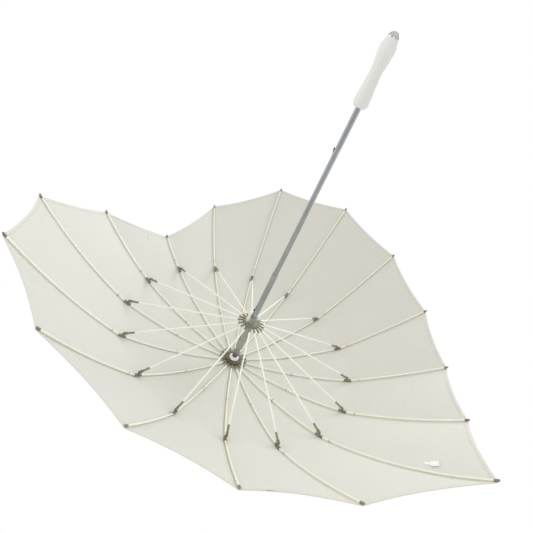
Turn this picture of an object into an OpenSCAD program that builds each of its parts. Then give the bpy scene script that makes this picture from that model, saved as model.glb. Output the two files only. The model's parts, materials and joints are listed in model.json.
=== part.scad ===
// Heart-shaped wedding parasol, held upright by its grip.
// Origin: middle of the hand grip, on the shaft's axis. +Z runs up the shaft to the crown.
// +X points to the heart's point, -X to its notch. Rib 01 is at +X, and the rest follow anticlockwise.

/* [Shaft] */
// Height of the crown's pivot plane above the middle of the grip
crown_z = 661; // [640:1:680]
// Outer radius of the upper tube, which the runner slides on
upper_tube_r = 6; // [5.8:0.1:6]
// Outer radius of the lower tube, plugged into the upper one
lower_tube_r = 5; // [4.9:0.1:5.1]
// Distance from the crown down to the end of the upper tube
tube_joint_drop = 247; // [230:1:260]

/* [Canopy frame] */
// Radius of the rings of pivots in the crown and in the runner
pivot_r = 15; // [14.5:0.1:15.5]
// Distance from the shaft's axis to the pivots between the ribs and the stretchers
ring_reach = 255; // [250:1:260]
// Drop of those pivots below the crown's pivots; the runner hangs twice as low
ring_drop = 56; // [54:1:58]
// Downward slope of the rib over those pivots, in degrees
ring_slope = 22.2; // [21.8:0.1:22.6]
// Radius of the fibreglass rib rod
rib_r = 1.7; // [1.6:0.05:1.7]
// Radius of the stretcher rod
stretcher_r = 1.5; // [1.3:0.05:1.5]

/* [Cloth] */
// Thickness of the cloth shell
cloth_t = 0.8; // [0.6:0.1:0.9]
// How far the hem bows in between two rib tips
hem_bow = 7; // [4:1:10]
// How far the cloth dips between two ribs half way out
gore_dip = 3; // [1:0.5:4]

/* [Grip] */
// Length of the hand grip
grip_len = 113; // [108:1:118]
// Radius of the grip's waist
grip_waist_r = 10.6; // [10:0.1:11.5]
// Radius of the grip's swelling next to the end cap
grip_palm_r = 14.3; // [13.5:0.1:15]

/* [Hidden] */
rib_count = 16;
pitch = 360 / rib_count;
// Reach and drop of each rib's tip from the crown, from the heart's point round to its notch.
// The other side of the heart mirrors them.
tip_reach = [513, 452, 434, 443, 464, 485, 470, 410, 340];
tip_drop = [272, 203, 179, 197, 231, 254, 226, 148, 93];
// How much of its turn each outer rib makes as a bow; it makes the rest at the bend point
tip_bow = [0.6, 0.4, 0.25, 0.2, 0.25, 0.35, 0.5, 0.65, 1];

// Fits and small stock sizes
press = 0;
fit = 0.02;
running = 0.06;
wire_r = 0.8;
blade_t = 1.5;
blade_half_w = 1.8;
slot_w = 2.1;
slot_root_r = 12.2;
rivet_r = 0.9;
tab_half_w = 2.2;
ear_t = 1;
ear_gap = 2.1;
rod_fn = 24;
arc_fn = 360;

// Ribs: radius and height of the joints, in the rib's own upright plane
rib_offset = 6;
root_reach = 22;
root_rise = 0.77;
hinge_out = 9;
crown_pivot = [pivot_r, crown_z];
ring_pivot = [ring_reach, crown_z - ring_drop];
runner_pivot = [pivot_r, crown_z - 2 * ring_drop];
root_crimp_len = 9;
root_crimp_r = 2.2;
sleeve_r = 2.6;
sleeve_len = 16;
tip_cap_len = 7;
tip_cap_r = 2.1;
round_inset = 0.1;

// Outward and downward direction of a slope, and the upward normal to it
function along(slope) = [cos(slope), -sin(slope)];
function normal(slope) = [sin(slope), cos(slope)];
function arc_deg(len, radius) = len * 180 / (PI * radius);
function slope_of(v) = atan2(-v.y, v.x);

// The inner arc of a rib runs from its root at the crown to the bend point beyond the sleeve
ring_point = ring_pivot + rib_offset * normal(ring_slope);
root_point = [root_reach, crown_z + root_rise];
inner_chord = ring_point - root_point;
inner_half = ring_slope - slope_of(inner_chord);
inner_r = norm(inner_chord) / (2 * sin(inner_half));
inner_centre = ring_point - inner_r * normal(ring_slope);
root_slope = ring_slope - 2 * inner_half;
hinge_slope = ring_slope + arc_deg(hinge_out, inner_r);
hinge_point = inner_centre + inner_r * normal(hinge_slope);

// The outer arc of each rib runs from the bend point to the tip
function side_index(k) = min(k, rib_count - k);
function tip_point(k) = [tip_reach[side_index(k)], crown_z - tip_drop[side_index(k)]];
function outer_chord(k) = tip_point(k) - hinge_point;
function outer_half(k) = tip_bow[side_index(k)] * (slope_of(outer_chord(k)) - hinge_slope);
function outer_start(k) = slope_of(outer_chord(k)) - outer_half(k);
function outer_r(k) = norm(outer_chord(k)) / (2 * sin(outer_half(k)));
function outer_centre(k) = hinge_point - outer_r(k) * normal(outer_start(k));
function tip_slope(k) = outer_start(k) + 2 * outer_half(k);
function outer_len(k) = outer_r(k) * 2 * outer_half(k) * PI / 180;

// Crown, runner and springs
notch_r = 18.5;
notch_top = 4;
notch_bottom = -3.5;
notch_slot_top = 2.2;
collar_r = 10.5;
collar_len = 5;
tube_top_rise = 16;
runner_bore_r = upper_tube_r + 0.15;
flange_r = 18;
flange_half_h = 3;
barrel_r = 7.4;
barrel_rise = 76;
grip_barrel_r = 9;
grip_barrel_drop = 17;
key_w = 3.4;
key_r = 8.2;
tab_size = [3.5, 7, 25];
tab_az = 123.75;
top_spring_az = 123.75;
hand_spring_az = 168.75;
top_spring_pivot_z = crown_z - 176;
top_nub_z = crown_z - 144;
hand_spring_pivot_z = crown_z - 474;
hand_nub_z = crown_z - 523;
spring_w = 2;
spring_slot_w = 2.6;
spring_pin_r = 0.8;
spring_eye_r = 1.6;
leaf_t = 0.8;

// Tubes, grip and ferrule
upper_bore_r = lower_tube_r;
lower_bore_r = lower_tube_r - 0.8;
tube_overlap = 42;
lower_tube_end_z = -30;
grip_top_z = 60;
grip_end_z = grip_top_z - grip_len;
cap_r = 10.3;
cap_h = 9;
cap_stud_r = 3;
cap_stud_len = 12;
ferrule_gap = 6.3;
ferrule_base_r = 14;
ferrule_pin_r = 4;
ferrule_pin_start = 26;
ferrule_top = 62;

// Cloth shell: rings of points from the crown's hole out to the hem
cloth_lift = 3.2;
inner_steps = 5;
outer_steps = 6;
gore_steps = 2;
hem_inset = 1.5;

ring_names = ["01", "02", "03", "04", "05", "06", "07", "08",
    "09", "10", "11", "12", "13", "14", "15", "16"];

// ---- Shared shapes ----

// Turns a shape built in the upright plane of rib 01 round to rib k
module at_rib(k) {
    rotate([0, 0, k * pitch]) children();
}

// Rod or tube bent to an arc in the XZ plane, from one slope down to a steeper one
module bent_rod(centre, radius, slope_a, slope_b, r_out, r_in = 0) {
    translate([centre.x, 0, centre.y])
        rotate([90, 0, 0])
            rotate([0, 0, 90 - slope_b])
                rotate_extrude(angle = slope_b - slope_a, $fn = arc_fn)
                    translate([radius, 0])
                        difference() {
                            circle(r = r_out, $fn = rod_fn);
                            if (r_in > 0) circle(r = r_in, $fn = rod_fn);
                        }
}

// Places a shape at a point of the XZ plane, with its +X along a downward slope
module at_slope(point, slope) {
    translate([point.x, 0, point.y]) rotate([0, slope, 0]) children();
}

// Flat plate of thickness t across Y, outlined in the XZ plane
module plate(t) {
    rotate([90, 0, 0]) linear_extrude(height = t, center = true) children();
}

// Pin along Y
module cross_pin(r, len) {
    rotate([90, 0, 0]) cylinder(r = r, h = len, center = true, $fn = rod_fn);
}

// Upright slot cutter in the wall of a tube or barrel, from the axis out to r
module wall_slot(az, w, r, z_low, z_high) {
    rotate([0, 0, az]) translate([0, -w / 2, z_low]) cube([r, w, z_high - z_low]);
}

// Slots round a flange, one for each rib
module rib_slots(z_low, z_high) {
    for (k = [0 : rib_count - 1])
        at_rib(k)
            translate([slot_root_r, -slot_w / 2, z_low])
                cube([notch_r, slot_w, z_high - z_low]);
}

// Wire ring that the blades turn on, or its groove
module wire_ring(r) {
    rotate_extrude($fn = arc_fn) translate([pivot_r, 0]) circle(r = r, $fn = rod_fn);
}

// ---- Ribs ----

// Metal eye and crimp at a rod's inner end: an eye on the wire ring, a blade, then the crimped barrel
module rib_root_fitting() {
    gap = [root_point.x - crown_pivot.x, root_point.y - crown_pivot.y];
    difference() {
        union() {
            at_slope(crown_pivot, slope_of(gap))
                plate(blade_t) {
                    circle(r = blade_half_w, $fn = rod_fn);
                    translate([0, -blade_half_w]) square([norm(gap) + 1, 2 * blade_half_w]);
                }
            bent_rod(inner_centre, inner_r, root_slope,
                     root_slope + arc_deg(root_crimp_len, inner_r), root_crimp_r);
        }
        at_slope(crown_pivot, 0) cross_pin(wire_r + running, 2 * blade_t);
        bent_rod(inner_centre, inner_r, root_slope + arc_deg(1, inner_r),
                 root_slope + arc_deg(root_crimp_len + 2, inner_r), rib_r + fit);
    }
}

// Clamp sleeve on the rib, with the tab that carries the stretcher
module connector_sleeve() {
    start = ring_slope - arc_deg(sleeve_len / 2, inner_r);
    stop = ring_slope + arc_deg(sleeve_len / 2, inner_r);
    difference() {
        union() {
            bent_rod(inner_centre, inner_r, start, stop, sleeve_r);
            at_slope(ring_pivot, ring_slope)
                plate(blade_t) {
                    circle(r = tab_half_w, $fn = rod_fn);
                    translate([-tab_half_w, 0]) square([2 * tab_half_w, rib_offset - rib_r]);
                }
        }
        at_slope(ring_pivot, 0) cross_pin(rivet_r + fit, 2 * blade_t);
        bent_rod(inner_centre, inner_r, start - 1, stop + 1, rib_r + fit);
    }
}

// Rivet through the tab, with a head on each side of the stretcher's fork
module connector_rivet() {
    head_t = 0.6;
    head_y = ear_gap / 2 + ear_t + running;
    at_slope(ring_pivot, 0) {
        cross_pin(rivet_r, 2 * head_y);
        for (side = [-1, 1])
            translate([0, side * (head_y + head_t / 2), 0]) cross_pin(1.6, head_t);
    }
}

// Inner rib: rod, crown fitting, sleeve and rivet as separate solids
module rib(k) {
    rod_end = hinge_slope - arc_deg(2 * rib_r + 0.2, inner_r);
    at_rib(k) {
        color("cornsilk")
            bent_rod(inner_centre, inner_r, root_slope + arc_deg(1.2, inner_r), rod_end, rib_r);
        color("dimgray") rib_root_fitting();
        color("dimgray") connector_sleeve();
        color("gray") connector_rivet();
    }
}

// Outer rib: rod from the bend point to the tip, and the metal tip cap
module rib_end(k) {
    cap_start = tip_slope(k) - arc_deg(tip_cap_len, outer_r(k));
    at_rib(k) {
        color("cornsilk") {
            bent_rod(outer_centre(k), outer_r(k), outer_start(k),
                     tip_slope(k) - arc_deg(2, outer_r(k)), rib_r);
            at_slope(hinge_point, 0) sphere(r = rib_r - round_inset, $fn = rod_fn);
        }
        color("dimgray")
            difference() {
                union() {
                    bent_rod(outer_centre(k), outer_r(k), cap_start, tip_slope(k), tip_cap_r);
                    at_slope(tip_point(k), 0) sphere(r = tip_cap_r - round_inset, $fn = rod_fn);
                }
                bent_rod(outer_centre(k), outer_r(k), cap_start - 1,
                         tip_slope(k) - arc_deg(1.9, outer_r(k)), rib_r + fit);
            }
    }
}

// Stretcher: rod, fork on the rib's tab, and blade on the runner's wire ring
module stretcher(k) {
    span = norm(ring_pivot - runner_pivot);
    slope = slope_of(runner_pivot - ring_pivot);
    fork_start = 4.2;
    fork_len = 16;
    rod_start = 7;
    blade_len = 8;
    blade_crimp_len = 8;
    rod_stop = span - blade_len - 1;
    at_rib(k)
        at_slope(ring_pivot, slope) {
            color("ivory")
                translate([rod_start, 0, 0])
                    rotate([0, 90, 0])
                        cylinder(r = stretcher_r, h = rod_stop - rod_start, $fn = rod_fn);
            color("dimgray") stretcher_fork(fork_start, fork_len, rod_start);
            color("dimgray") stretcher_blade(span, blade_len, blade_crimp_len);
        }
}

// Fork with two ears, crimped on the stretcher's outer end
module stretcher_fork(start, len, rod_start) {
    ear_y = (ear_gap + ear_t) / 2;
    crimp_r = 2.05;
    difference() {
        union() {
            for (side = [-1, 1])
                translate([0, side * ear_y, 0])
                    plate(ear_t) {
                        circle(r = tab_half_w, $fn = rod_fn);
                        translate([0, -crimp_r]) square([start + 2, 2 * crimp_r]);
                    }
            translate([start, 0, 0])
                rotate([0, 90, 0]) cylinder(r = crimp_r, h = len, $fn = rod_fn);
        }
        cross_pin(rivet_r + running, 4 * ear_gap);
        translate([rod_start - fit, 0, 0])
            rotate([0, 90, 0]) cylinder(r = stretcher_r + fit, h = len, $fn = rod_fn);
    }
}

// Blade with an eye on the runner's wire ring, crimped on the stretcher's inner end
module stretcher_blade(span, len, crimp_len) {
    crimp_r = 1.95;
    difference() {
        union() {
            translate([span, 0, 0])
                plate(blade_t) {
                    circle(r = blade_half_w, $fn = rod_fn);
                    translate([-len, -blade_half_w]) square([len, 2 * blade_half_w]);
                }
            translate([span - len - crimp_len + 1, 0, 0])
                rotate([0, 90, 0]) cylinder(r = crimp_r, h = crimp_len, $fn = rod_fn);
        }
        translate([span, 0, 0]) cross_pin(wire_r + running, 2 * blade_t);
        translate([span - len - crimp_len, 0, 0])
            rotate([0, 90, 0])
                cylinder(r = stretcher_r + fit, h = crimp_len - 1 + fit, $fn = rod_fn);
    }
}

// ---- Crown ----

// Notched crown disc, pressed on the upper tube, with the wire ring in its groove
module crown_notch() {
    color("saddlebrown")
        translate([0, 0, crown_z])
            difference() {
                translate([0, 0, notch_bottom])
                    cylinder(r = notch_r, h = notch_top - notch_bottom, $fn = arc_fn);
                translate([0, 0, 2 * notch_bottom])
                    cylinder(r = upper_tube_r + press, h = 4 * notch_top, $fn = arc_fn);
                rib_slots(notch_bottom - 1, notch_slot_top);
                wire_ring(wire_r + fit);
            }
    color("silver") translate([0, 0, crown_z]) wire_ring(wire_r);
}

// Bright collar under the crown disc
module crown_collar() {
    edge = 1.5;
    color("white")
        translate([0, 0, crown_z + notch_bottom - collar_len])
            rotate_extrude($fn = arc_fn)
                polygon([[upper_tube_r, 0], [collar_r - edge, 0], [collar_r, edge],
                         [collar_r, collar_len], [upper_tube_r, collar_len]]);
}

// Cap and spike above the cloth; the spike's straight length is the mount
module ferrule() {
    base_edge = 1.5;
    waist_r = 7.2;
    waist_rise = 13;
    shoulder_rise = 22;
    color("silver")
        translate([0, 0, crown_z])
            difference() {
                union() {
                    rotate_extrude($fn = arc_fn)
                        polygon([[0, ferrule_gap], [ferrule_base_r, ferrule_gap],
                                 [ferrule_base_r, ferrule_gap + base_edge],
                                 [waist_r + 2, waist_rise - 3], [waist_r, waist_rise],
                                 [waist_r, shoulder_rise], [ferrule_pin_r, ferrule_pin_start],
                                 [0, ferrule_pin_start]]);
                    cylinder(r = ferrule_pin_r, h = ferrule_top - ferrule_pin_r, $fn = arc_fn);
                    translate([0, 0, ferrule_top - ferrule_pin_r])
                        sphere(r = ferrule_pin_r, $fn = 96);
                }
                translate([0, 0, -1])
                    cylinder(r = upper_tube_r + press, h = tube_top_rise + 1, $fn = arc_fn);
            }
}

// ---- Shaft ----

// Upper tube with the top spring's slot and pin, and the rivet that holds the lower tube
module upper_tube() {
    rivet_az = 56.25;
    rivet_rise = 5;
    groove_rise = 11;
    bottom = crown_z - tube_joint_drop;
    color("silver") {
        difference() {
            translate([0, 0, bottom])
                cylinder(r = upper_tube_r, h = tube_joint_drop + tube_top_rise, $fn = arc_fn);
            translate([0, 0, bottom - 1])
                cylinder(r = upper_bore_r, h = tube_joint_drop + tube_top_rise + 2, $fn = arc_fn);
            wall_slot(top_spring_az, spring_slot_w, 2 * upper_tube_r, top_nub_z - 14,
                      top_nub_z + 2);
            rotate([0, 0, rivet_az])
                translate([upper_bore_r, 0, bottom + rivet_rise])
                    rotate([0, 90, 0])
                        cylinder(r = 1.2 + fit, h = upper_tube_r, center = true, $fn = rod_fn);
            translate([0, 0, bottom + groove_rise])
                rotate_extrude($fn = arc_fn)
                    translate([upper_tube_r + 0.4, 0]) circle(r = 0.8, $fn = rod_fn);
        }
        rotate([0, 0, top_spring_az])
            translate([spring_x(upper_bore_r), 0, top_spring_pivot_z])
                cross_pin(spring_pin_r, 2 * pin_reach(upper_bore_r));
    }
    color("dimgray")
        rotate([0, 0, rivet_az])
            translate([upper_bore_r + fit, 0, bottom + rivet_rise])
                rotate([0, 90, 0])
                    cylinder(r = 1.2, h = upper_tube_r - upper_bore_r - fit, $fn = rod_fn);
}

// Lower tube with the hand spring's slot and pin
module lower_tube() {
    top = crown_z - tube_joint_drop + tube_overlap;
    color("silver") {
        difference() {
            translate([0, 0, lower_tube_end_z])
                cylinder(r = lower_tube_r, h = top - lower_tube_end_z, $fn = arc_fn);
            translate([0, 0, lower_tube_end_z - 1])
                cylinder(r = lower_bore_r, h = top - lower_tube_end_z + 2, $fn = arc_fn);
            wall_slot(hand_spring_az, spring_slot_w, 2 * lower_tube_r, hand_nub_z - 2,
                      hand_nub_z + 26);
        }
        rotate([0, 0, hand_spring_az])
            translate([spring_x(lower_bore_r), 0, hand_spring_pivot_z])
                cross_pin(spring_pin_r, 2 * pin_reach(lower_bore_r));
    }
}

// A spring's pin sits off the axis; its ends stop just inside the bore
function spring_x(bore) = bore - 2.2;
function pin_reach(bore) = sqrt(pow(bore, 2) - pow(spring_x(bore) + spring_pin_r, 2)) - 0.05;

// Sprung catch: an eye on its pin, a thin leaf, and a nub that stands out of the tube's slot.
// rise is the way from the pin to the nub's far end; steep is the height of its blunt end.
module spring_catch(bore, rise, nub_len, reach) {
    x = spring_x(bore);
    steep = 2;
    difference() {
        plate(spring_w) {
            translate([x, 0]) circle(r = spring_eye_r, $fn = rod_fn);
            translate([x - leaf_t / 2, 0]) square([leaf_t, rise]);
            polygon([[x, rise - nub_len], [reach - 1, rise - steep - 3],
                     [reach, rise - steep], [reach, rise], [x, rise]]);
        }
        translate([x, 0, 0]) cross_pin(spring_pin_r + running, 2 * spring_w);
    }
}

// Catch that holds the runner up when the parasol is open
module top_spring() {
    color("dimgray")
        rotate([0, 0, top_spring_az])
            translate([0, 0, top_spring_pivot_z])
                spring_catch(upper_bore_r, top_nub_z - top_spring_pivot_z, 11, 7.8);
}

// Catch above the grip that holds the runner down when the parasol is closed
module hand_spring() {
    color("black")
        rotate([0, 0, hand_spring_az])
            translate([0, 0, hand_spring_pivot_z])
                mirror([0, 0, 1])
                    spring_catch(lower_bore_r, hand_spring_pivot_z - hand_nub_z, 22, 7.6);
}

// Hand grip: swells at both ends and narrows in a waist
function grip_knots() = [[0, 11], [6, 13.4], [grip_len * 0.55, grip_waist_r],
    [grip_len * 0.84, grip_palm_r], [grip_len, cap_r]];
function eased(a, b, t) = a + (b - a) * (1 - cos(180 * t)) / 2;
module handle_grip() {
    knots = grip_knots();
    steps = 8;
    profile = [for (i = [0 : len(knots) - 2]) for (s = [0 : steps - 1])
        [eased(knots[i].y, knots[i + 1].y, s / steps),
         grip_top_z - knots[i].x - (knots[i + 1].x - knots[i].x) * s / steps]];
    color("whitesmoke")
        difference() {
            rotate_extrude($fn = arc_fn)
                polygon(concat([[0, grip_top_z]], profile, [[cap_r, grip_end_z], [0, grip_end_z]]));
            translate([0, 0, lower_tube_end_z])
                cylinder(r = lower_tube_r + press, h = grip_top_z - lower_tube_end_z + 1,
                         $fn = arc_fn);
            translate([0, 0, grip_end_z - 1])
                cylinder(r = cap_stud_r + press, h = cap_stud_len + 1, $fn = arc_fn);
        }
}

// Domed end cap with its stud
module handle_cap() {
    dome_r = (pow(cap_r, 2) + pow(cap_h, 2)) / (2 * cap_h);
    color("silver") {
        translate([0, 0, grip_end_z])
            intersection() {
                translate([0, 0, dome_r - cap_h]) sphere(r = dome_r, $fn = 96);
                translate([0, 0, -cap_h - 1]) cylinder(r = 2 * cap_r, h = cap_h + 1, $fn = arc_fn);
            }
        translate([0, 0, grip_end_z - 1])
            cylinder(r = cap_stud_r, h = cap_stud_len + 1, $fn = arc_fn);
    }
}

// ---- Runner ----

// Sliding runner: slotted flange, long upper barrel, short lower barrel, and its wire ring
module runner() {
    color("gray")
        translate([0, 0, runner_pivot.y])
            difference() {
                union() {
                    translate([0, 0, -flange_half_h])
                        cylinder(r = flange_r, h = 2 * flange_half_h, $fn = arc_fn);
                    cylinder(r = barrel_r, h = barrel_rise, $fn = arc_fn);
                    translate([0, 0, -grip_barrel_drop])
                        cylinder(r = grip_barrel_r, h = grip_barrel_drop, $fn = arc_fn);
                }
                translate([0, 0, -2 * grip_barrel_drop])
                    cylinder(r = runner_bore_r, h = 2 * barrel_rise, $fn = arc_fn);
                rib_slots(-flange_half_h - 1, flange_half_h + 1);
                wire_ring(wire_r + fit);
                wall_slot(top_spring_az, key_w, key_r, -2 * grip_barrel_drop, 2 * barrel_rise);
                wall_slot(hand_spring_az, key_w, key_r, -2 * grip_barrel_drop, -flange_half_h);
            }
    color("silver") translate([0, 0, runner_pivot.y]) wire_ring(wire_r);
}

// Cream thumb tab on the runner's lower barrel
module runner_tab() {
    color("wheat")
        translate([0, 0, runner_pivot.y])
            rotate([0, 0, tab_az])
                difference() {
                    translate([grip_barrel_r - 1, -tab_size.y / 2, -flange_half_h - tab_size.z])
                        cube([tab_size.x + 1, tab_size.y, tab_size.z]);
                    translate([0, 0, -2 * tab_size.z])
                        cylinder(r = grip_barrel_r + press, h = 2 * tab_size.z, $fn = arc_fn);
                }
}

// ---- Cloth ----

// Radius and height of the cloth's inner face over rib k. Steps 0 and 1 cross the crown disc.
function cloth_slope(k, i) =
    i < 2 ? 0
    : i <= inner_steps + 1 ? root_slope + (hinge_slope - root_slope) * (i - 1) / inner_steps
    : outer_start(k) + (tip_slope(k) - outer_start(k)) * (1 - hem_inset / outer_len(k))
      * (i - inner_steps - 1) / outer_steps;
function cloth_on_rib(k, i) =
    i == 0 ? [8, crown_z + 5]
    : i == 1 ? [21, crown_z + 4.8]
    : i <= inner_steps + 1
        ? inner_centre + (inner_r + cloth_lift) * normal(cloth_slope(k, i))
    : outer_centre(k) + (outer_r(k) + cloth_lift) * normal(cloth_slope(k, i));

// The same point in space, pulled in at the hem between two ribs
function at_azimuth(p, az) = [p.x * cos(az), p.x * sin(az), p.y];
function up_at(slope, az) = [sin(slope) * cos(az), sin(slope) * sin(az), cos(slope)];
function cloth_point(k, j, i, lift) =
    let (v = j / gore_steps,
         bulge = 4 * v * (1 - v),
         last = inner_steps + outer_steps + 1,
         out = i / last,
         a = at_azimuth(cloth_on_rib(k, i), k * pitch),
         b = at_azimuth(cloth_on_rib((k + 1) % rib_count, i), (k + 1) * pitch),
         az = (k + v) * pitch,
         slope = (1 - v) * cloth_slope(k, i) + v * cloth_slope((k + 1) % rib_count, i),
         hem = i == last ? hem_bow * bulge : 0,
         tangent = [cos(slope) * cos(az), cos(slope) * sin(az), -sin(slope)])
    a * (1 - v) + b * v - hem * tangent + (lift - gore_dip * bulge * out) * up_at(slope, az);

// Closed thin shell: inner face, outer face, and the two rims
module canopy() {
    rings = inner_steps + outer_steps + 2;
    cols = rib_count * gore_steps;
    layer = rings * cols;
    points = [for (lift = [0, cloth_t]) for (i = [0 : rings - 1]) for (c = [0 : cols - 1])
        cloth_point(floor(c / gore_steps), c % gore_steps, i, lift)];
    faces = [
        for (i = [0 : rings - 2]) for (c = [0 : cols - 1])
            let (d = (c + 1) % cols, p = i * cols + c, q = i * cols + d)
            each [[p, p + cols, q + cols], [p, q + cols, q],
                  [layer + p, layer + q + cols, layer + p + cols],
                  [layer + p, layer + q, layer + q + cols]],
        for (c = [0 : cols - 1])
            let (d = (c + 1) % cols, e = (rings - 1) * cols)
            each [[c, d, layer + d], [c, layer + d, layer + c],
                  [e + c, layer + e + d, e + d], [e + c, layer + e + c, layer + e + d]]];
    color("ivory") polyhedron(points = points, faces = faces, convexity = 6);
}

upper_tube();
lower_tube();
handle_grip();
handle_cap();
crown_notch();
crown_collar();
ferrule();
runner();
runner_tab();
top_spring();
hand_spring();
canopy();
for (k = [0 : rib_count - 1]) {
    rib(k);
    rib_end(k);
    stretcher(k);
}
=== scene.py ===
import json
import math

import bpy
import numpy as np
from mathutils import Matrix, Vector


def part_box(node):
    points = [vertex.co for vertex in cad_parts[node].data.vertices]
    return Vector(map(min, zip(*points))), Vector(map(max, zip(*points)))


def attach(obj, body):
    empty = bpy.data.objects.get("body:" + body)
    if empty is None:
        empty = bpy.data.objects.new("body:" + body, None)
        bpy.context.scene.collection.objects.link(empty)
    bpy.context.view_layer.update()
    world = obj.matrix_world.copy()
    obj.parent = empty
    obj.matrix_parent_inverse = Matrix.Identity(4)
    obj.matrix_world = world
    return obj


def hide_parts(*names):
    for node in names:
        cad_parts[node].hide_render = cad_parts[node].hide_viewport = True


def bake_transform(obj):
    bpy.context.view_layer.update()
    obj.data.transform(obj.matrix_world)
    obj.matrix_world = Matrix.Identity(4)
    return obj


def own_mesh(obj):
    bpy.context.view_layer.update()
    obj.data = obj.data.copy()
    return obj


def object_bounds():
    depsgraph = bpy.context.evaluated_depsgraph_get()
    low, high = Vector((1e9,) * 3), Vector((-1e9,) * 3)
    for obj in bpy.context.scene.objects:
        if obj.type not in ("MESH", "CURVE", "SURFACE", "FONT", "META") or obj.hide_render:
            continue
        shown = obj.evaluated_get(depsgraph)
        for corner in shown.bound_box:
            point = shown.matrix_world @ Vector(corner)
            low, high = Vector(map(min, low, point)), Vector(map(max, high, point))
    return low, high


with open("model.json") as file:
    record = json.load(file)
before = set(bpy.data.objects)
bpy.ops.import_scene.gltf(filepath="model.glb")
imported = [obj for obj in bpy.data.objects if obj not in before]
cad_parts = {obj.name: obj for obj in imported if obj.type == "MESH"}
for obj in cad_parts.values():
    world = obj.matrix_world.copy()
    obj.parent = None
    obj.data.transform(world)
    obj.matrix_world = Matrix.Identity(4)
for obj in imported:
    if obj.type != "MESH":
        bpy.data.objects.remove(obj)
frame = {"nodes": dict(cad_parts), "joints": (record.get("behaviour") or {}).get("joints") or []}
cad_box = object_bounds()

MM = 0.001
RIBS = 16
PITCH = 2 * math.pi / RIBS
NUMBERS = [f"{k + 1:02d}" for k in range(RIBS)]
nodes, joints = frame["nodes"], {j["name"]: j for j in frame["joints"]}

# ---------------------------------------------------------------- camera

# Where the picture is taken from, as azimuth and elevation round the shaft, and the camera's own roll
VIEW_AZIMUTH, VIEW_ELEVATION, VIEW_ROLL = 144.74, -30.52, 154.2
VIEW_TARGET, VIEW_DISTANCE, VIEW_LENS = Vector((-0.0185, 0.0131, 0.4086)), 1.0066, 34.31


def make_camera():
    a, e, roll = map(math.radians, (VIEW_AZIMUTH, VIEW_ELEVATION, VIEW_ROLL))
    back = Vector((math.sin(a) * math.cos(e), -math.cos(a) * math.cos(e), math.sin(e)))
    side = (-back).cross(Vector((0, 0, 1))).normalized()
    level_up = side.cross(-back)
    up = level_up * math.cos(roll) + side * math.sin(roll)
    right = (-back).cross(up)
    camera = bpy.data.objects.new("camera", bpy.data.cameras.new("camera"))
    bpy.context.scene.collection.objects.link(camera)
    turn = Matrix((right, up, back)).transposed().to_4x4()
    camera.matrix_world = Matrix.Translation(VIEW_TARGET + back * VIEW_DISTANCE) @ turn
    camera.data.sensor_width = 36
    camera.data.lens = VIEW_LENS
    camera.data.clip_start, camera.data.clip_end = 0.01, 50
    bpy.context.scene.camera = camera


make_camera()

# ---------------------------------------------------------------- materials


def new_material(name, roughness, metallic=0.0, **sockets):
    """A material with a plain Principled shader: returns (material, nodes, links, shader).
    A socket's name is written with _ for its spaces."""
    mat = bpy.data.materials.new(name)
    mat.use_nodes = True
    tree = mat.node_tree
    shader = tree.nodes["Principled BSDF"]
    shader.inputs["Roughness"].default_value = roughness
    shader.inputs["Metallic"].default_value = metallic
    for key, value in sockets.items():
        shader.inputs[key.replace("_", " ")].default_value = value
    return mat, tree.nodes, tree.links, shader


# How marks are stretched along a piece, and the height of fine marks in metres
EVEN, DRAWN = (1, 1, 1), (1, 1, 0.08)
SKIN = 0.0002


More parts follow.
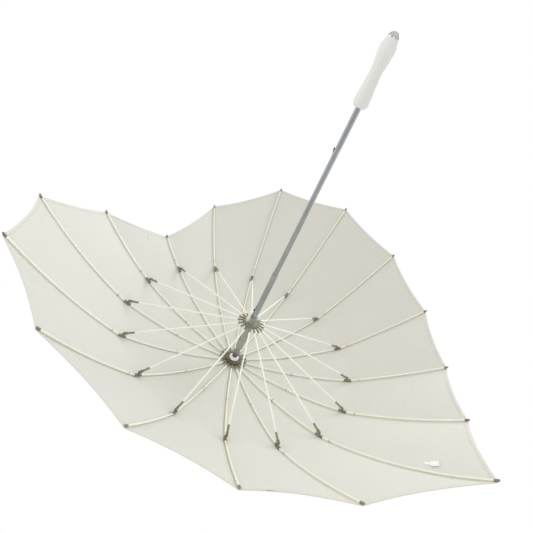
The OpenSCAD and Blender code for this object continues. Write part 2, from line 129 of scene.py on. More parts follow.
class Paint:
    """Short names for the nodes that the materials are made of."""

    def __init__(self, name, roughness, metallic=0.0, **sockets):
        self.mat, self.nodes, self.links, self.shader = new_material(
            name, roughness, metallic, **sockets)
        self.coords = self.nodes.new("ShaderNodeTexCoord")

    def scaled(self, scale, source="Object"):
        m = self.nodes.new("ShaderNodeMapping")
        m.inputs["Scale"].default_value = scale
        self.links.new(self.coords.outputs[source], m.inputs["Vector"])
        return m.outputs["Vector"]

    def noise(self, scale, detail=3.0, stretch=EVEN, source="Object"):
        n = self.nodes.new("ShaderNodeTexNoise")
        n.inputs["Scale"].default_value = scale
        n.inputs["Detail"].default_value = detail
        self.links.new(self.scaled(stretch, source), n.inputs["Vector"])
        return n.outputs["Fac"]

    def ramp(self, fac, low, high, a=0.3, b=0.7):
        r = self.nodes.new("ShaderNodeValToRGB")
        r.color_ramp.elements[0].position, r.color_ramp.elements[1].position = a, b
        r.color_ramp.elements[0].color = (*low, 1)
        r.color_ramp.elements[1].color = (*high, 1)
        self.links.new(fac, r.inputs["Fac"])
        return r.outputs["Color"]

    def span(self, value, a, b, low, high):
        m = self.nodes.new("ShaderNodeMapRange")
        for key, v in (("From Min", a), ("From Max", b), ("To Min", low), ("To Max", high)):
            m.inputs[key].default_value = v
        self.links.new(value, m.inputs["Value"])
        return m.outputs["Result"]

    def math(self, op, a, b=None, c=None):
        m = self.nodes.new("ShaderNodeMath")
        m.operation = op
        for i, v in enumerate((a, b, c)):
            if v is None:
                continue
            if isinstance(v, (int, float)):
                m.inputs[i].default_value = v
            else:
                self.links.new(v, m.inputs[i])
        return m.outputs["Value"]

    def mix(self, fac, a, b):
        m = self.nodes.new("ShaderNodeMix")
        m.data_type, m.blend_type = "RGBA", "MIX"
        for key, v in ((0, fac), (6, a), (7, b)):
            if isinstance(v, (int, float)):
                m.inputs[key].default_value = v
            elif isinstance(v, tuple):
                m.inputs[key].default_value = (*v, 1)
            else:
                self.links.new(v, m.inputs[key])
        return m.outputs[2]

    def attribute(self, name):
        n = self.nodes.new("ShaderNodeAttribute")
        n.attribute_name = name
        return n.outputs["Fac"]

    def bump(self, height, strength, distance, below=None):
        b = self.nodes.new("ShaderNodeBump")
        b.inputs["Strength"].default_value = strength
        b.inputs["Distance"].default_value = distance
        self.links.new(height, b.inputs["Height"])
        if below is not None:
            self.links.new(below, b.inputs["Normal"])
        return b.outputs["Normal"]

    def finish(self, colour=None, roughness=None, normal=None):
        for key, v in (("Base Color", colour), ("Roughness", roughness), ("Normal", normal)):
            if v is not None:
                self.links.new(v, self.shader.inputs[key])
        return self.mat


def metal(name, low, high, roughness, streak=DRAWN, grain=900.0, wear=0.06, metallic=1.0):
    """Drawn, plated or patinated metal: fine marks along one way, and cloudy roughness."""
    p = Paint(name, roughness, metallic)
    cloud = p.noise(60.0, 4.0)
    marks = p.noise(grain, 2.0, streak)
    colour = p.ramp(p.math("MULTIPLY_ADD", marks, 0.35, p.math("MULTIPLY", cloud, 0.65)), low, high)
    rough = p.span(cloud, 0.3, 0.7, roughness - wear, roughness + wear)
    return p.finish(colour, rough, p.bump(marks, 0.12, SKIN))


def fibreglass(name, low, high):
    """Pultruded rod: long fibres under a satin gel coat, with small scuffs."""
    p = Paint(name, 0.34, Coat_Weight=0.25, Coat_Roughness=0.2)
    cloud = p.noise(35.0, 3.0)
    fibres = p.noise(420.0, 3.0)
    scuffs = p.noise(1500.0, 1.0)
    colour = p.ramp(p.math("MULTIPLY_ADD", fibres, 0.5, p.math("MULTIPLY", cloud, 0.5)), low, high)
    rough = p.span(scuffs, 0.3, 0.7, 0.27, 0.43)
    return p.finish(colour, rough, p.bump(fibres, 0.15, SKIN))


def plastic(name, low, high, roughness, grain=1400.0, depth=0.08, mottle=45.0, coat=0.0):
    """Moulded or lacquered plastic: faint mottling and a fine skin."""
    p = Paint(name, roughness, Coat_Weight=coat, Coat_Roughness=0.06)
    cloud = p.noise(mottle, 2.0)
    skin = p.noise(grain, 2.0)
    colour = p.ramp(cloud, low, high)
    rough = p.span(p.noise(3 * mottle, 2.0), 0.3, 0.7, roughness - 0.05, roughness + 0.06)
    return p.finish(colour, rough, p.bump(skin, depth, SKIN))


def thread(name, low, high):
    """Twisted sewing thread."""
    p = Paint(name, 0.8, Sheen_Weight=0.3, Sheen_Roughness=0.4)
    strands = p.noise(2600.0, 1.0, (1, 1, 0.4))
    return p.finish(p.ramp(strands, low, high), None, p.bump(strands, 0.5, SKIN))


MATERIALS = {
    "chrome": metal("shaft_chrome_tube", (0.34, 0.36, 0.375), (0.44, 0.465, 0.485), 0.1),
    "cap": metal("cap_chrome_dome", (0.56, 0.56, 0.55), (0.68, 0.68, 0.67), 0.05,
                 streak=EVEN, grain=500.0, wear=0.03),
    "bronze": metal("bronze_fitting", (0.2, 0.175, 0.13), (0.36, 0.32, 0.245), 0.38,
                    streak=EVEN, grain=1300.0, wear=0.1, metallic=0.6),
    "crown": metal("crown_bronze_disc", (0.16, 0.125, 0.085), (0.3, 0.25, 0.175), 0.4,
                   streak=EVEN, grain=1100.0, wear=0.1, metallic=0.6),
    "wire": metal("ring_wire", (0.42, 0.4, 0.36), (0.58, 0.56, 0.52), 0.3, streak=EVEN),
    "runner": metal("runner_grey_metal", (0.36, 0.37, 0.345), (0.5, 0.51, 0.475), 0.36,
                    streak=(1, 1, 0.3), grain=1000.0, wear=0.08, metallic=0.5),
    "flange": metal("runner_warm_flange", (0.25, 0.24, 0.19), (0.37, 0.355, 0.29), 0.42,
                    streak=EVEN, grain=1000.0, wear=0.08, metallic=0.3),
    "ferrule": metal("ferrule_chrome_cap", (0.55, 0.56, 0.55), (0.72, 0.72, 0.71), 0.14,
                     streak=(1, 1, 0.2), grain=700.0, wear=0.05),
    "grip": plastic("grip_white_lacquer", (0.75, 0.745, 0.715), (0.78, 0.775, 0.745), 0.42,
                    grain=60.0, depth=0.004, mottle=12.0, coat=0.15),
    "collar": plastic("collar_white_plastic", (0.86, 0.87, 0.87), (0.93, 0.93, 0.93), 0.26, coat=0.3),
    "tab": plastic("tab_cream_plastic", (0.93, 0.9, 0.77), (0.97, 0.94, 0.84), 0.36),
    "black": plastic("spring_black_lacquer", (0.02, 0.02, 0.02), (0.05, 0.05, 0.048), 0.35),
    "rib": fibreglass("rib_cream_rod", (0.92, 0.885, 0.76), (0.97, 0.945, 0.85)),
    "stretcher": fibreglass("stretcher_ivory_rod", (0.91, 0.93, 0.84), (0.96, 0.97, 0.9)),
    "thread": thread("tie_cream_thread", (0.6, 0.54, 0.42), (0.8, 0.75, 0.63)),
}


# The cloth's thread spacing in metres, and its stitches as how often they come and where they pause
THREAD_STEP = 0.0007
STITCH_RATE, STITCH_PAUSE = 1.75, -0.3


def cloth_material(name):
    """Plain-woven ivory cloth: warp and weft on a uv map in metres, slubs, shaded seams and hem."""
    p = Paint(name, 0.62, Sheen_Weight=0.35, Sheen_Roughness=0.35, Specular_IOR_Level=0.35)
    weave = p.scaled((1 / THREAD_STEP, 1 / THREAD_STEP, 1), "UV")
    split = p.nodes.new("ShaderNodeSeparateXYZ")
    p.links.new(weave, split.inputs["Vector"])
    turn = 2 * math.pi
    warp = p.math("SINE", p.math("MULTIPLY", split.outputs["X"], turn))
    weft = p.math("SINE", p.math("MULTIPLY", split.outputs["Y"], turn))
    threads = p.math("MULTIPLY", warp, weft)
    slub_a = p.noise(260.0, 2.0, (1, 0.05, 1), "UV")
    slub_b = p.noise(260.0, 2.0, (0.05, 1, 1), "UV")
    slubs = p.math("MULTIPLY_ADD", slub_a, 0.5, p.math("MULTIPLY", slub_b, 0.5))
    cloud = p.noise(5.0, 3.0)
    colour = p.ramp(slubs, (0.705, 0.695, 0.635), (0.745, 0.735, 0.675), 0.3, 0.7)
    colour = p.mix(p.span(cloud, 0.35, 0.65, 0.0, 0.3), colour, (0.76, 0.75, 0.695))
    colour = p.mix(p.span(threads, -1, 1, 0.0, 0.06), colour, (0.55, 0.53, 0.46))
    colour = p.mix(p.math("MULTIPLY", p.attribute("doubled"), 0.55), colour, (0.79, 0.75, 0.65))
    dashes = p.math("SINE", p.math("MULTIPLY", split.outputs["Y"], STITCH_RATE))
    dashes = p.math("GREATER_THAN", dashes, STITCH_PAUSE)
    stitch = p.math("MULTIPLY", p.attribute("stitch"), dashes)
    colour = p.mix(p.math("MULTIPLY", stitch, 0.55), colour, (0.62, 0.57, 0.44))
    # A dark patch on the hem, where the mark attribute is set
    patchy = p.span(p.noise(300.0, 3.0), 0.3, 0.6, 0.35, 0.9)
    dark_patch = p.math("MULTIPLY", p.attribute("mark"), patchy)
    colour = p.mix(dark_patch, colour, (0.16, 0.15, 0.13))
    rough = p.span(slubs, 0.3, 0.7, 0.5, 0.64)
    normal = p.bump(slubs, 0.05, 0.0006)
    normal = p.bump(threads, 0.25, 0.00015, normal)
    normal = p.bump(stitch, 0.6, 0.0003, normal)
    return p.finish(colour, rough, normal)


CLOTH = cloth_material("canopy_ivory_cloth")


def label_material(name):
    """Blank satin ribbon of the care label."""
    p = Paint(name, 0.45, Sheen_Weight=0.2)
    ribs = p.noise(900.0, 2.0, (1, 1, 0.2))
    colour = p.ramp(ribs, (0.9, 0.91, 0.88), (0.97, 0.97, 0.95))
    return p.finish(colour, None, p.bump(ribs, 0.3, SKIN))


LABEL = label_material("label_white_satin")


# ---------------------------------------------------------------- materials of the CAD nodes


# Corners closer than this, in metres, count as one
SAME_PLACE = 2e-6


def islands(obj):
    """For each polygon the number of its solid, and each solid's box in metres.
    Corners at one place count as joined."""
    mesh = obj.data
    co = np.zeros(len(mesh.vertices) * 3)
    mesh.vertices.foreach_get("co", co)
    co = co.reshape(-1, 3)
    _, merged = np.unique(np.round(co / SAME_PLACE).astype(np.int64), axis=0, return_inverse=True)
    merged = merged.ravel()
    loops = np.zeros(len(mesh.loops), np.int64)
    mesh.loops.foreach_get("vertex_index", loops)
    starts = np.zeros(len(mesh.polygons), np.int64)
    mesh.polygons.foreach_get("loop_start", starts)
    corner = merged[loops]
    first = corner[starts]
    owner = np.repeat(np.arange(len(starts)), np.diff(np.append(starts, len(loops))))
    label = np.arange(merged.max() + 1)
    a, b = first[owner], corner
    while True:
        low = np.minimum(label[a], label[b])
        new = label.copy()
        np.minimum.at(new, a, low)
        np.minimum.at(new, b, low)
        new = new[new]
        if (new == label).all():
            break
        label = new
    names, solid = np.unique(label[first], return_inverse=True)
    where = label[merged]
    boxes = [(co[where == n].min(0), co[where == n].max(0)) for n in names]
    return solid.ravel(), boxes


def dress(name, main, other=None):
    """Gives a CAD node its material: main on its largest solid, and other on the rest."""
    obj = nodes[name]
    obj.data.materials.clear()
    obj.data.materials.append(MATERIALS[main])
    if other is None:
        obj.data.polygons.foreach_set("material_index", np.zeros(len(obj.data.polygons), np.int32))
        return
    obj.data.materials.append(MATERIALS[other])
    solid, boxes = islands(obj)
    sizes = [float(np.linalg.norm(hi - lo)) for lo, hi in boxes]
    index = np.where(solid == int(np.argmax(sizes)), 0, 1).astype(np.int32)
    obj.data.polygons.foreach_set("material_index", index)


def dress_flange():
    """The runner's slotted flange is warmer in tone than its barrels."""
    obj = nodes["runner"]
    obj.data.materials.append(MATERIALS["flange"])
    middle = joints["runner_hinge"]["pos_m"][2]
    half_height, barrel = 3.05 * MM, 7.3 * MM
    co = np.array([v.co for v in obj.data.vertices])
    inside = (np.abs(co[:, 2] - middle) < half_height) & (np.hypot(co[:, 0], co[:, 1]) > barrel)
    for polygon in obj.data.polygons:
        if polygon.material_index == 0 and inside[list(polygon.vertices)].all():
            polygon.material_index = 2


for number in NUMBERS:
    dress("rib_" + number, "rib", "bronze")
    dress("rib_end_" + number, "rib", "bronze")
    dress("stretcher_" + number, "stretcher", "bronze")
dress("upper_tube", "chrome", "bronze")
dress("lower_tube", "chrome")
dress("handle_grip", "grip")
dress("handle_cap", "cap")
dress("crown_notch", "crown", "wire")
dress("crown_collar", "collar")
dress("ferrule", "ferrule")
dress("runner", "runner", "wire")
dress_flange()
dress("runner_tab", "tab")
dress("top_spring", "black")
dress("hand_spring", "black")

# ---------------------------------------------------------------- ribs' lines
# In millimetres, in a rib's own upright plane: radius first, then height


def joint_at(name, k):
    """A joint's place as radius and height in rib k's plane."""
    x, y, z = joints[name]["pos_m"]
    az = k * PITCH
    return np.array([x * math.cos(az) + y * math.sin(az), z]) / MM


def along(slope):
    return np.array([math.cos(slope), -math.sin(slope)])


def normal_to(slope):
    return np.array([math.sin(slope), math.cos(slope)])


def slope_of(v):
    return math.atan2(-v[1], v[0])


def plane_turn(k):
    """The turn about the shaft from the first rib's plane to rib k's."""
    az = k * PITCH
    return np.array([[math.cos(az), -math.sin(az), 0], [math.sin(az), math.cos(az), 0], [0, 0, 1]])


crown_pivot = joint_at("fold", 0)
ring_pivot = joint_at("stretcher_hinge_01", 0)
hinge = joint_at("rib_bend_01", 0)
CROWN = crown_pivot[1]
# The inner rib: its root, its slope at the stretcher, and its middle line's height over the rivet there
ROOT_R, ROOT_RISE = 22.0, 0.77
RING_SLOPE = math.radians(22.2)
RIB_OFFSET = 6.0
# The cloth: from a rib's middle line to its inner face, and its thickness
LIFT, CLOTH_T = 3.2, 0.8
# How far the hem bows in and the gores dip between ribs, how far the hem ends short of the tip, and how
# far past the hem the shape is worked out
HEM_BOW, GORE_DIP, HEM_INSET, PAST_HEM = 7.0, 3.0, 1.5, 1.2
# Over the crown disc: radii of the cloth's hole, its flat part and its blend, and the flat part's place
HOLE_R, FLAT_R, BLEND_R = 8.0, 19.0, 50.0
FLAT_RISE, FLAT_SLOPE = 4.9, math.radians(0.8)

ring_point = ring_pivot + RIB_OFFSET * normal_to(RING_SLOPE)
root_point = np.array([ROOT_R, CROWN + ROOT_RISE])
inner_half = RING_SLOPE - slope_of(ring_point - root_point)
inner_r = float(np.linalg.norm(ring_point - root_point)) / (2 * math.sin(inner_half))
inner_centre = ring_point - inner_r * normal_to(RING_SLOPE)
hinge_slope = math.atan2(*(hinge - inner_centre))


def tip_of(k):
    """The rib's tip, which is the middle of the ball on its cap."""
    ball = 2.0
    obj = nodes["rib_end_" + NUMBERS[k]]
    co = np.array([v.co for v in obj.data.vertices]) / MM
    x = co[:, 0] * math.cos(k * PITCH) + co[:, 1] * math.sin(k * PITCH)
    return np.array([x.max() - ball, co[:, 2].min() + ball])


# How much of its turn each outer rib makes as a bow, from the heart's point round to its notch
TIP_BOW = (0.6, 0.4, 0.25, 0.2, 0.25, 0.35, 0.5, 0.65, 1.0)


class Outer:
    """The outer arc of one rib, which starts at the bend point: slopes, radius, centre and length."""

    def __init__(self, k):
        chord = tip_of(k) - hinge
        half = TIP_BOW[min(k, RIBS - k)] * (slope_of(chord) - hinge_slope)
        self.start_slope = slope_of(chord) - half
        self.r = float(np.linalg.norm(chord)) / (2 * math.sin(half))
        self.centre = hinge - self.r * normal_to(self.start_slope)
        self.length = self.r * 2 * half
        self.hem_slope = self.start_slope + 2 * half * (1 - HEM_INSET / self.length)


outer = [Outer(k) for k in range(RIBS)]

# The cloth's arc over the inner ribs, its radius at the bend, and where its blend to the crown begins
cloth_arc_r = inner_r + LIFT
edge_r = inner_centre[0] + cloth_arc_r * math.sin(hinge_slope)
blend_slope = math.asin((BLEND_R - inner_centre[0]) / cloth_arc_r)
blend_z = inner_centre[1] + cloth_arc_r * math.cos(blend_slope)


def inner_line(r):
    """Height and slope of the cloth's inner face over the inner rib at radius r.
    It is flat over the crown disc, then blends into the rib's own arc."""
    r = np.asarray(r, float)
    s = np.arcsin(np.clip((r - inner_centre[0]) / cloth_arc_r, -1, 1))
    z = inner_centre[1] + cloth_arc_r * np.cos(s)
    flat_z, flat_slope = CROWN + FLAT_RISE, FLAT_SLOPE
    t = np.clip((r - FLAT_R) / (BLEND_R - FLAT_R), 0, 1)
    w = BLEND_R - FLAT_R
    h = ((2 * t**3 - 3 * t**2 + 1) * flat_z - (t**3 - 2 * t**2 + t) * w * math.tan(flat_slope)
         + (3 * t**2 - 2 * t**3) * blend_z - (t**3 - t**2) * w * math.tan(blend_slope))
    h_slope = -((6 * t**2 - 6 * t) * flat_z / w - (3 * t**2 - 4 * t + 1) * math.tan(flat_slope)
                + (6 * t - 6 * t**2) * blend_z / w - (3 * t**2 - 2 * t) * math.tan(blend_slope))
    near = r < BLEND_R
    flat = r < FLAT_R
    z = np.where(near, h, z)
    s = np.where(near, np.arctan(h_slope), s)
    z = np.where(flat, flat_z + (FLAT_R - r) * math.tan(flat_slope), z)
    s = np.where(flat, flat_slope, s)
    return z, s


def cloth_line(k, u):
    """Radius, height and slope of the cloth over rib k.
    u runs from 0 to 1 out to the bend, and from 1 to 2 out to the hem."""
    u = np.asarray(u, float)
    r_in = HOLE_R + (edge_r - HOLE_R) * np.clip(u, 0, 1)
    z_in, s_in = inner_line(r_in)
    o = outer[k % RIBS]
    s_out = o.start_slope + (o.hem_slope - o.start_slope) * np.clip(u - 1, 0, PAST_HEM)
    r_out = o.centre[0] + (o.r + LIFT) * np.sin(s_out)
    z_out = o.centre[1] + (o.r + LIFT) * np.cos(s_out)
    far = u > 1
    return np.where(far, r_out, r_in), np.where(far, z_out, z_in), np.where(far, s_out, s_in)


def smooth(x, a, b):
    t = np.clip((x - a) / (b - a), 0, 1)
    return t * t * (3 - 2 * t)


def cloth_point(k, side, t, u):
    """Points of the cloth's inner face and its upward normal, in rib k's plane frame.
    x is out, y along the ring and z up. t runs from 0 on the rib to 0.5 at the middle of the gore
    on that side."""
    ra, za, sa = cloth_line(k, u)
    rb, zb, sb = cloth_line(k + side, u)
    az = side * t * PITCH
    x = ra * (1 - t) + rb * t * math.cos(PITCH)
    y = rb * t * math.sin(PITCH) * side
    z = za * (1 - t) + zb * t
    slope = (1 - t) * sa + t * sb
    bulge = 4 * t * (1 - t)
    bow = HEM_BOW * bulge * np.clip(u - 1, 0, PAST_HEM) ** 3
    dip = GORE_DIP * bulge * u / 2
    cos_s, sin_s = np.cos(slope), np.sin(slope)
    up = np.stack([sin_s * np.cos(az), sin_s * np.sin(az), cos_s], -1)
    out = np.stack([cos_s * np.cos(az), cos_s * np.sin(az), -sin_s], -1)
    return np.stack([x, y, z], -1) - bow[..., None] * out - dip[..., None] * up, up


TABLE_U = np.linspace(0, 2, 4001)
line_x = [cloth_line(k, TABLE_U)[0] for k in range(RIBS)]


def u_on_rib(k, x):
    return np.interp(x, line_x[k], TABLE_U)


def u_mid(k, side, x):
    """u at the middle of the gore where the cloth crosses the plane at distance x in front of the shaft."""
    both = (line_x[k] + line_x[(k + side) % RIBS]) * (1 + math.cos(PITCH)) / 4
    return np.interp(x, both, TABLE_U)


# ---------------------------------------------------------------- cloth pieces

# The gore seam beside each rib: where its columns lie, and the most of a narrow gore that it takes
SEAM_Y = (0.0, 1.5, 3.0, 3.5, 4.6, 5.7, 6.2, 7.5)
SEAM_SHARE = 0.42
GORE_COLS = 7
# How far the doubled cloth stands in, and the distances over which each step rises or ends
SEAM_FOLD, HEM_FOLD, POCKET_FOLD = 0.9, 0.55, 0.6
SEAM_NEAR, SEAM_FAR, SEAM_CLEAR = (3.0, 3.5), (5.7, 6.2), (32, 46)
HEM_EDGE, POCKET_SIDE, POCKET_END = (7.2, 8.0), (5.7, 6.2), (10.2, 11.0)
# Stitch lines, as distance and half width, from the rib and from the hem
SEAM_STITCH, HEM_STITCH = (4.6, 0.5), (6.0, 0.6)
# The dark patch on the hem between ribs 03 and 02: its rib and side, its place along the hem,
# its half length, and where it ends inwards from the hem
MARK_RIB, MARK_SIDE, MARK_AWAY, MARK_LONG, MARK_END = 2, -1, 41.0, 9.0, (1.6, 2.6)


def columns(half):
    """Distances from the rib to the middle of the gore, close together at the seam and even further out."""
    fixed = np.array(SEAM_Y)
    share = np.minimum(1.0, SEAM_SHARE * half / fixed[-1])
    near = fixed[None, :] * share[:, None]
    rest = near[:, -1:] + (half[:, None] - near[:, -1:]) * np.linspace(0, 1, GORE_COLS + 1)[None, 1:]
    return np.concatenate([near, rest], 1), share[:, None]


def grid_to_piece(name, inner, up, extra, k, thick=CLOTH_T, material=CLOTH):
    """A closed shell of cloth from a grid of points on its inner face.
    extra holds five more grids: depth, doubled, stitch, mark and uv."""
    rows, cols = inner.shape[:2]
    depth, doubled, stitch, mark, uv = extra
    under = inner - depth[..., None] * up
    over = inner + thick * up
    points = np.concatenate([under.reshape(-1, 3), over.reshape(-1, 3)]) @ plane_turn(k).T * MM
    n = rows * cols
    i = np.arange(n).reshape(rows, cols)
    a, b, c, d = i[:-1, :-1], i[1:, :-1], i[1:, 1:], i[:-1, 1:]
    lower = np.stack([a, b, c, d], -1).reshape(-1, 4)
    upper = np.stack([a, d, c, b], -1).reshape(-1, 4) + n
    loop = np.concatenate([i[0, :-1], i[:-1, -1], i[-1, :0:-1], i[:0:-1, 0]])
    ahead = np.roll(loop, -1)
    rim = np.stack([loop, ahead, ahead + n, loop + n], -1)
    mesh = bpy.data.meshes.new(name)
    mesh.from_pydata(points.tolist(), [], np.concatenate([lower, upper, rim]).tolist())
    mesh.materials.append(material)
    layer = mesh.uv_layers.new(name="cloth")
    corners = np.zeros(len(mesh.loops), np.int64)
    mesh.loops.foreach_get("vertex_index", corners)
    layer.data.foreach_set("uv", uv.reshape(-1, 2)[corners % n].astype(np.float32).ravel())
    for key, grid in (("doubled", doubled), ("stitch", stitch), ("mark", mark)):
        values = np.concatenate([grid.ravel(), 0 * grid.ravel()]).astype(np.float32)
        mesh.attributes.new(key, "FLOAT", "POINT").data.foreach_set("value", values)
    mesh.polygons.foreach_set("use_smooth", np.ones(len(mesh.polygons), bool))
    ends = np.zeros(len(mesh.edges) * 2, np.int64)
    mesh.edges.foreach_get("vertices", ends)
    ends = ends.reshape(-1, 2)
    on_rim = np.zeros(2 * n, bool)
    on_rim[loop] = on_rim[loop + n] = True
    sharp = on_rim[ends].all(1)
    mesh.attributes.new("sharp_edge", "BOOLEAN", "EDGE").data.foreach_set("value", sharp)
    mesh.validate()
    obj = bpy.data.objects.new(name, mesh)
    bpy.context.scene.collection.objects.link(obj)
    return obj


def stitch_line(distance, middle, half_wide):
    return np.exp(-((distance - middle) / half_wide) ** 2)


def cloth_band(name, k, rows_u, length_at):
    """One band of cloth across rib k.
    rows_u gives u on the rib and in the middle of the two gores beside it, row by row."""
    on_rib, mids = rows_u
    parts = []
    for side in (-1, 1):
        mid = mids[side]
        half = np.linalg.norm(
            cloth_point(k, side, np.full_like(mid, 0.5), mid)[0]
            - cloth_point(k, side, np.zeros_like(on_rib), on_rib)[0], axis=-1)
        y, share = columns(half)
        t = 0.5 * y / half[:, None]
        u = on_rib[:, None] + 2 * t * (mid - on_rib)[:, None]
        p, up = cloth_point(k, side, t, u)
        flat_y = y / share
        clear = smooth(p[..., 0], *SEAM_CLEAR)
        seam = smooth(flat_y, *SEAM_NEAR) * (1 - smooth(flat_y, *SEAM_FAR)) * (side > 0) * clear
        from_hem = (2 - u) * outer[k].length
        hem = 1 - smooth(from_hem, *HEM_EDGE)
        pocket = (1 - smooth(y, *POCKET_SIDE)) * (1 - smooth(from_hem, *POCKET_END))
        depth = np.maximum(np.maximum(SEAM_FOLD * seam, HEM_FOLD * hem), POCKET_FOLD * pocket)
        line = stitch_line(flat_y, *SEAM_STITCH) * (side > 0) * clear
        hem_line = stitch_line(from_hem, *HEM_STITCH)
        stitch = np.maximum(line, hem_line * (u > 1.5))
        mark = (np.exp(-((y - MARK_AWAY) / MARK_LONG) ** 4) * (1 - smooth(from_hem, *MARK_END))
                * (side == MARK_SIDE and k == MARK_RIB))
        away = side * y * MM
        uv = np.stack([away, np.broadcast_to(length_at(u) * MM, away.shape)], -1)
        doubled = np.maximum(np.maximum(seam, 0.15 * hem), 0.8 * pocket)
        grids = [p, up, depth, doubled, stitch, mark, uv]
        if side < 0:
            grids = [g[:, :0:-1] for g in grids]
        parts.append(grids)
    inner, up, depth, doubled, stitch, mark, uv = [np.concatenate(pair, 1) for pair in zip(*parts)]
    return grid_to_piece(name, inner, up, (depth, doubled, stitch, mark, uv), k)


def planes_to_rows(k, xs):
    xs = np.asarray(xs, float)
    return u_on_rib(k, xs), {s: u_mid(k, s, xs) for s in (-1, 1)}


def path_length(k):
    r, z, _ = cloth_line(k, TABLE_U)
    steps = np.hypot(np.diff(r), np.diff(z))
    table = np.concatenate([[0], np.cumsum(steps)])
    return lambda u: np.interp(u, TABLE_U, table)


def gather(piece):
    """Gives a piece of cloth its own copy of its mesh."""
    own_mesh(piece)


# Bands over the inner rib: from, to, and the share of the width left when the ribs are folded.
# The last one runs to the bend point, where the rim's band takes over.
CROWN_BAND = 45.0
INNER_BANDS = (("a", CROWN_BAND, 85.0, 0.57), ("b", 85.0, 160.0, 0.345), ("c", 160.0, None, 0.205))
# Rows of points along a band: their spacing, and how many the crown and the shortest band have
ROW_STEP = 7.0
FLAT_ROWS, BLEND_ROWS, LEAST_ROWS = 5, 8, 4
HOLE_EDGE = 0.4
# Rows of the hem's and the tip pocket's steps, as distances from the hem, and the least share of the
# rib between them and the even rows
HEM_ROWS = np.array([11.2, 10.6, 10.0, 8.2, 7.6, 7.0, 6.0, 4.5, 3.0, 2.4, 1.5, 0.0])
HEM_ROWS_APART = 0.004


def lay_crown_band(k, number, length_at):
    xs = np.concatenate([np.linspace(HOLE_R + HOLE_EDGE, FLAT_R, FLAT_ROWS),
                         np.linspace(FLAT_R, CROWN_BAND, BLEND_ROWS)[1:]])
    piece = cloth_band("cloth_crown_" + number, k, planes_to_rows(k, xs), length_at)
    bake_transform(piece)
    return piece


def lay_inner_bands(k, number, length_at):
    for letter, x0, x1, keep in INNER_BANDS:
        x1 = x1 or hinge[0]
        steps = max(LEAST_ROWS, int((x1 - x0) / ROW_STEP))
        rows = planes_to_rows(k, np.linspace(x0, x1, steps + 1))
        piece = cloth_band(f"cloth_{letter}_{number}", k, rows, length_at)
        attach(piece, "rib_" + number)
        gather(piece)


def lay_rim_band(k, number, length_at):
    rib_u, mid_u = planes_to_rows(k, [hinge[0]])
    q = np.linspace(0, 1, int(outer[k].length / ROW_STEP))
    fine = 1 - HEM_ROWS / outer[k].length
    q = np.sort(np.concatenate([q[q < fine[0] - HEM_ROWS_APART], fine]))
    rows = (rib_u + (2 - rib_u) * q, {s: mid_u[s] + (2 - mid_u[s]) * q for s in (-1, 1)})
    piece = cloth_band("cloth_rim_" + number, k, rows, length_at)
    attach(piece, "rib_end_" + number)
    gather(piece)


for k, number in enumerate(NUMBERS):
    length_at = path_length(k)
    lay_crown_band(k, number, length_at)
    lay_inner_bands(k, number, length_at)
    lay_rim_band(k, number, length_at)
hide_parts("canopy")

# ---------------------------------------------------------------- small cloth pieces sewn on the canopy


def sewn_piece(name, k, side, away, from_hem, below, thick, material):
    """A small cloth piece on rib k's outer cloth. away and from_hem are grids in millimetres.
    below is how far its upper face lies under the cloth's inner face, and is negative for a piece
    on the cloth's outer side."""
    u = 2 - from_hem / outer[k].length
    middle = cloth_point(k, side, np.full_like(u, 0.5), u)[0]
    half = np.linalg.norm(middle - cloth_point(k, side, 0 * u, u)[0], axis=-1)
    p, up = cloth_point(k, side, 0.5 * away / half, u)
    none = 0 * away
    uv = np.stack([away, from_hem], -1) * MM
    p = p - np.asarray(below + thick)[..., None] * up
    if side < 0:
        p, up, uv = p[:, ::-1], up[:, ::-1], uv[:, ::-1]
    piece = grid_to_piece(name, p, up, (none, none, none, none, uv), k, thick, material)
    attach(piece, "rib_end_" + NUMBERS[k])
    gather(piece)
    return piece


def rectangle(centre_away, centre_hem, wide, long, nx, ny):
    """Grids of a rectangle's places, as distances from the rib and from the hem."""
    across, down = np.meshgrid(np.linspace(-0.5, 0.5, nx), np.linspace(0.5, -0.5, ny))
    return centre_away + wide * across, centre_hem + long * down


# The care label: where it begins, widens and ends, as distances from the hem; the distance from the
# rib at its end and at its beginning; its half widths; and its gap, rise and thickness
LABEL_TOP, LABEL_STEP, LABEL_END = 118.0, 106.1, 89.5
LABEL_AWAY = (29.5, 25.0)
TONGUE_HALF, FLAP_HALF = 3.2, 7.2
LABEL_LOW, LABEL_LIFT, LABEL_T = 0.3, 2.2, 0.35


def make_label():
    """Blank care label beside rib 01: a narrow tongue towards the crown and a wider flap.
    The flap stands off the cloth."""
    down = np.array([LABEL_TOP, 114.0, 110.0, 106.3, 106.0, 102.0, 98.0, 94.0, 91.0, LABEL_END])
    half_wide = np.where(down > LABEL_STEP, TONGUE_HALF, FLAP_HALF)
    centre = np.interp(down, [LABEL_END, LABEL_TOP], LABEL_AWAY)
    across = np.linspace(-1, 1, 7)
    away = centre[:, None] + half_wide[:, None] * across[None, :]
    from_hem = np.broadcast_to(down[:, None], away.shape).copy()
    lift = LABEL_LOW + LABEL_LIFT * ((LABEL_TOP - from_hem) / (LABEL_TOP - LABEL_END)) ** 2
    label = sewn_piece("care_label", 0, -1, away, from_hem, lift, LABEL_T, LABEL)


# The strap and its patch: rib and side, distance from the hem, thicknesses and the gap to the cloth
STRAP_RIB, STRAP_SIDE, STRAP_HEM = 8, -1, 16.0
PATCH_T, STRAP_T, SEWN_GAP = 0.4, 0.8, 0.1


